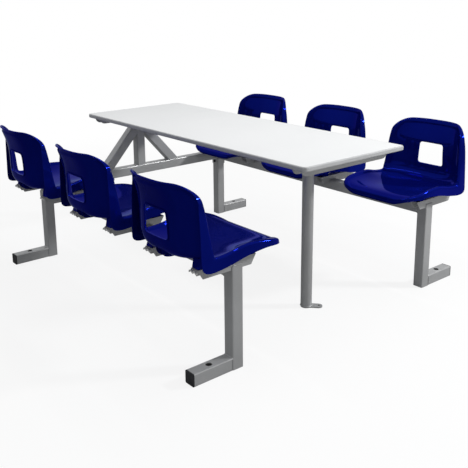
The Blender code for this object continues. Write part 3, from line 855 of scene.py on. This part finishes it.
def addWelds():
    settings = {
        "Radius": ("NodeSocketFloat", weldBead["radius"]),
        "Pitch": ("NodeSocketFloat", weldBead["pitch"]),
        "Ripple": ("NodeSocketFloat", weldBead["ripple"]),
        "Finish": ("NodeSocketMaterial", finishes["painted_steel"]),
    }
    tree, start = nodeTree("weldTree", settings)
    curve = addNode(tree, "GeometryNodeMeshToCurve", {"Mesh": start.outputs["Geometry"]})
    even = addNode(tree, "GeometryNodeResampleCurve", {
        "Curve": curve.outputs[0], "Length": start.outputs["Pitch"]}, mode="LENGTH")
    ring = addNode(tree, "GeometryNodeCurvePrimitiveCircle", {
        "Resolution": weldBead["sides"], "Radius": start.outputs["Radius"]})
    bead = addNode(tree, "GeometryNodeCurveToMesh", {
        "Curve": even.outputs[0], "Profile Curve": ring.outputs[0], "Fill Caps": True})
    # the bead's surface is pushed in and out by noise about its middle value
    noise = addNode(tree, "ShaderNodeTexNoise", {
        "Scale": weldBead["rippleScale"], "Detail": weldBead["rippleDetail"]})
    centred = addNode(tree, "ShaderNodeMath", {
        0: noise.outputs[0], 1: 0.5}, operation="SUBTRACT")
    sized = addNode(tree, "ShaderNodeMath", {
        0: centred.outputs[0], 1: start.outputs["Ripple"]}, operation="MULTIPLY")
    normal = addNode(tree, "GeometryNodeInputNormal", {})
    push = addNode(tree, "ShaderNodeVectorMath", {
        0: normal.outputs[0], "Scale": sized.outputs[0]}, operation="SCALE")
    uneven = addNode(tree, "GeometryNodeSetPosition", {
        "Geometry": bead.outputs[0], "Offset": push.outputs[0]})
    endTree(tree, uneven.outputs[0], start.outputs["Finish"])

    points = []
    edges = []
    loops, runs = weldPaths()
    for number, path in enumerate(loops + runs):
        first = len(points)
        points += path
        edges += [(first + k, first + k + 1) for k in range(len(path) - 1)]
        if number < len(loops):
            edges.append((len(points) - 1, first))
    mesh = growMesh("weldBeads", points, edges, tree, settings)
    smoothMesh(mesh, weldBead["sharpAngle"])
    addPiece("weldBeads", mesh, "painted_steel")
    return len(loops) + len(runs)


seatBolt = {
    # radius and height of each ring
    "washer": ((0.0083, 0.0), (0.0088, -0.0004), (0.0088, -0.0013), (0.0083, -0.0017)),
    "head": ((0.0074, -0.0017), (0.0076, -0.0021), (0.0076, -0.0060), (0.0065, -0.0070)),
    "washerSides": 24,
    "headSides": 6,
    "web": 0.003,
}
rearClip = {
    "half": 0.021,
    "wave": 0.0055,
    "low": -0.0135,
    "plate": 0.0075,
    "depth": 0.0080,
    "steps": 28,
}
fixing = {"slot": "zinc", "sharpAngle": 30}


def formObject(name, bm):
    bmesh.ops.recalc_face_normals(bm, faces=bm.faces)
    return addObject(name, meshOf(name, bm))


def boltForm():
    bm = bmesh.new()
    for part in ("washer", "head"):
        sides = seatBolt[part + "Sides"]
        addRings(bm, [turnedRing(radius, height, sides) for radius, height in seatBolt[part]])
    return formObject("boltForm", bm)


def clipForm():
    # a plate pressed into two humps, seen end on behind each rear lug
    clip = rearClip
    bm = bmesh.new()
    edgeUp = []
    for k in range(clip["steps"] + 1):
        x = clip["half"] * (2 * k / clip["steps"] - 1)
        hump = clip["wave"] * (1 - math.cos(2 * math.pi * x / clip["half"])) / 2
        edgeUp.append((x, clip["low"] + hump))
    outline = [(x, z + clip["plate"]) for x, z in edgeUp] + list(reversed(edgeUp))
    half = clip["depth"] / 2
    addRings(bm, [[(x, y, z) for x, z in outline] for y in (-half, half)])
    return formObject("clipForm", bm)


def addFixings(name, form, places):
    settings = {
        "Form": ("NodeSocketObject", form),
        "Finish": ("NodeSocketMaterial", finishes[fixing["slot"]]),
    }
    tree, start = nodeTree(name + "Tree", settings)
    info = addNode(tree, "GeometryNodeObjectInfo", {"Object": start.outputs["Form"]})
    copies = addNode(tree, "GeometryNodeInstanceOnPoints", {
        "Points": start.outputs["Geometry"], "Instance": info.outputs["Geometry"]})
    endTree(tree, copies.outputs[0], start.outputs["Finish"])
    mesh = growMesh(name, places, [], tree, settings)
    bpy.data.objects.remove(form)
    smoothMesh(mesh, fixing["sharpAngle"])
    addPiece(name, mesh, fixing["slot"])


weldCount = addWelds()
boltPlaces = []
clipPlaces = []
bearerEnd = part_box("bearer_near_right_a")[1].y - rowOffset
clipReach = bearerEnd + rearClip["depth"] / 2
for place in seatPlaces:
    for side in (-1, 1):
        x = side * fixingLug["spacing"] / 2
        for reach in fixingLug["reaches"]:
            boltPlaces.append(place @ Vector((x, reach, -seatBolt["web"])))
        clipPlaces.append(place @ Vector((x, clipReach, 0)))
addFixings("seatBolts", boltForm(), boltPlaces)
addFixings("rearClips", clipForm(), clipPlaces)
print("welds", weldCount, "bolts", len(boltPlaces), "clips", len(clipPlaces))


# stage

camera = {
    "photoPixels": 468,
    "focalPixels": 701.44,
    "shiftPixels": -70.02,
    "sensor": 36,
    "clipEnd": 200,
    "eye": (2.5741, -2.0813, 1.3438),
    "yaw": 2.4508,
    "pitch": -0.2355,
    "roll": -0.00825,
}


def addCamera():
    yaw, pitch, roll = camera["yaw"], camera["pitch"], camera["roll"]
    ahead = math.cos(pitch)
    forward = Vector((math.cos(yaw) * ahead, math.sin(yaw) * ahead, math.sin(pitch)))
    level = Vector((math.sin(yaw), -math.cos(yaw), 0))
    upright = level.cross(forward)
    right = level * math.cos(roll) + upright * math.sin(roll)
    up = upright * math.cos(roll) - level * math.sin(roll)
    data = bpy.data.cameras.new("photoCamera")
    data.sensor_width = camera["sensor"]
    data.lens = camera["focalPixels"] * camera["sensor"] / camera["photoPixels"]
    data.shift_y = camera["shiftPixels"] / camera["photoPixels"]
    data.clip_end = camera["clipEnd"]
    turn = Matrix((right, up, -forward)).transposed().to_4x4()
    made = addObject("photoCamera", data)
    made.matrix_world = Matrix.Translation(camera["eye"]) @ turn
    scene.camera = made


stage = {
    "floorColour": 0.40,
    "floorSeen": 0.90,
    "floorGlow": 0.85,
    "floorSize": 90,
    "floorDrop": 0.0008,
    "shadeReach": (1.6, 4.0),
    "skyColour": (0.97, 0.985, 1.0),
    # at the horizon and overhead
    "skyStrength": (0.14, 0.80),
    "skyInGloss": 0.60,
    "white": (1, 1, 1, 1),
}


def addWorld():
    scene.world = bpy.data.worlds.new("studioWorld")
    scene.world.use_nodes = True
    tree = scene.world.node_tree
    tree.nodes.clear()
    # the sky that lights the object is brightest overhead
    ray = addNode(tree, "ShaderNodeTexCoord", {})
    parts = addNode(tree, "ShaderNodeSeparateXYZ", {"Vector": ray.outputs["Generated"]})
    horizon, overhead = stage["skyStrength"]
    rise = addNode(tree, "ShaderNodeMapRange", {
        "Value": parts.outputs["Z"], "To Min": horizon, "To Max": overhead})
    sky = addNode(tree, "ShaderNodeBackground", {
        "Color": (*stage["skyColour"], 1), "Strength": rise.outputs["Result"]})
    backdrop = addNode(tree, "ShaderNodeBackground", {"Color": stage["white"], "Strength": 1.0})
    # the camera sees the white backdrop, and gloss shows part of it
    path = addNode(tree, "ShaderNodeLightPath", {})
    share = addNode(tree, "ShaderNodeMath", {
        0: path.outputs["Is Glossy Ray"], 1: stage["skyInGloss"],
        2: path.outputs["Is Camera Ray"]}, operation="MULTIPLY_ADD")
    mix = addNode(tree, "ShaderNodeMixShader", {
        0: share.outputs[0], 1: sky.outputs[0], 2: backdrop.outputs[0]})
    addNode(tree, "ShaderNodeOutputWorld", {"Surface": mix.outputs[0]})


def floorPaint():
    paint = bpy.data.materials.new("studioFloor")
    paint.use_nodes = True
    tree = paint.node_tree
    tree.nodes.clear()
    # the camera sees the shadow near the object and plain white further out
    coords = addNode(tree, "ShaderNodeTexCoord", {})
    reach = addNode(tree, "ShaderNodeVectorMath", {
        0: coords.outputs["Object"]}, operation="LENGTH")
    near, far = stage["shadeReach"]
    fade = addNode(tree, "ShaderNodeMapRange", {
        "Value": reach.outputs["Value"], "From Min": near, "From Max": far,
        "To Min": stage["floorGlow"], "To Max": 1.0}, interpolation_type="SMOOTHSTEP")
    pale = addNode(tree, "ShaderNodeBsdfDiffuse", {"Color": (*[stage["floorSeen"]] * 3, 1)})
    glow = addNode(tree, "ShaderNodeEmission", {"Color": stage["white"], "Strength": 1.0})
    seen = addNode(tree, "ShaderNodeMixShader", {
        0: fade.outputs["Result"], 1: pale.outputs[0], 2: glow.outputs[0]})
    # what the floor throws back at the object is darker
    matt = addNode(tree, "ShaderNodeBsdfDiffuse", {"Color": (*[stage["floorColour"]] * 3, 1)})
    path = addNode(tree, "ShaderNodeLightPath", {})
    mix = addNode(tree, "ShaderNodeMixShader", {
        0: path.outputs["Is Camera Ray"], 1: matt.outputs[0], 2: seen.outputs[0]})
    addNode(tree, "ShaderNodeOutputMaterial", {"Surface": mix.outputs[0]})
    return paint


def addFloor():
    bm = bmesh.new()
    bmesh.ops.create_grid(bm, x_segments=1, y_segments=1, size=stage["floorSize"] / 2)
    mesh = meshOf("studioFloor", bm)
    mesh.transform(Matrix.Translation((0, 0, -stage["floorDrop"])))
    mesh.materials.append(floorPaint())
    addObject("studioFloor", mesh)


lamps = {
    "rightKey": {
        "at": (3.0, 3.0, 2.6), "aim": (0.3, 0.2, 0.4), "size": (0.4, 0.4), "watts": 130},
    "topStrip": {
        "at": (0.55, 0.0, 2.4), "aim": (0.55, 0.0, 0.0), "size": (2.4, 0.07), "watts": 11},
}


def addLamps():
    for name, lamp in lamps.items():
        data = bpy.data.lights.new(name, "AREA")
        data.shape = "RECTANGLE"
        data.size, data.size_y = lamp["size"]
        data.energy = lamp["watts"]
        made = addObject(name, data)
        made.location = lamp["at"]
        aim = Vector(lamp["aim"]) - Vector(lamp["at"])
        made.rotation_euler = aim.to_track_quat("-Z", "Y").to_euler()


addCamera()
addWorld()
addFloor()
addLamps()
scene.view_settings.view_transform = "Standard"
print("stage set:", len(lamps), "lamps")
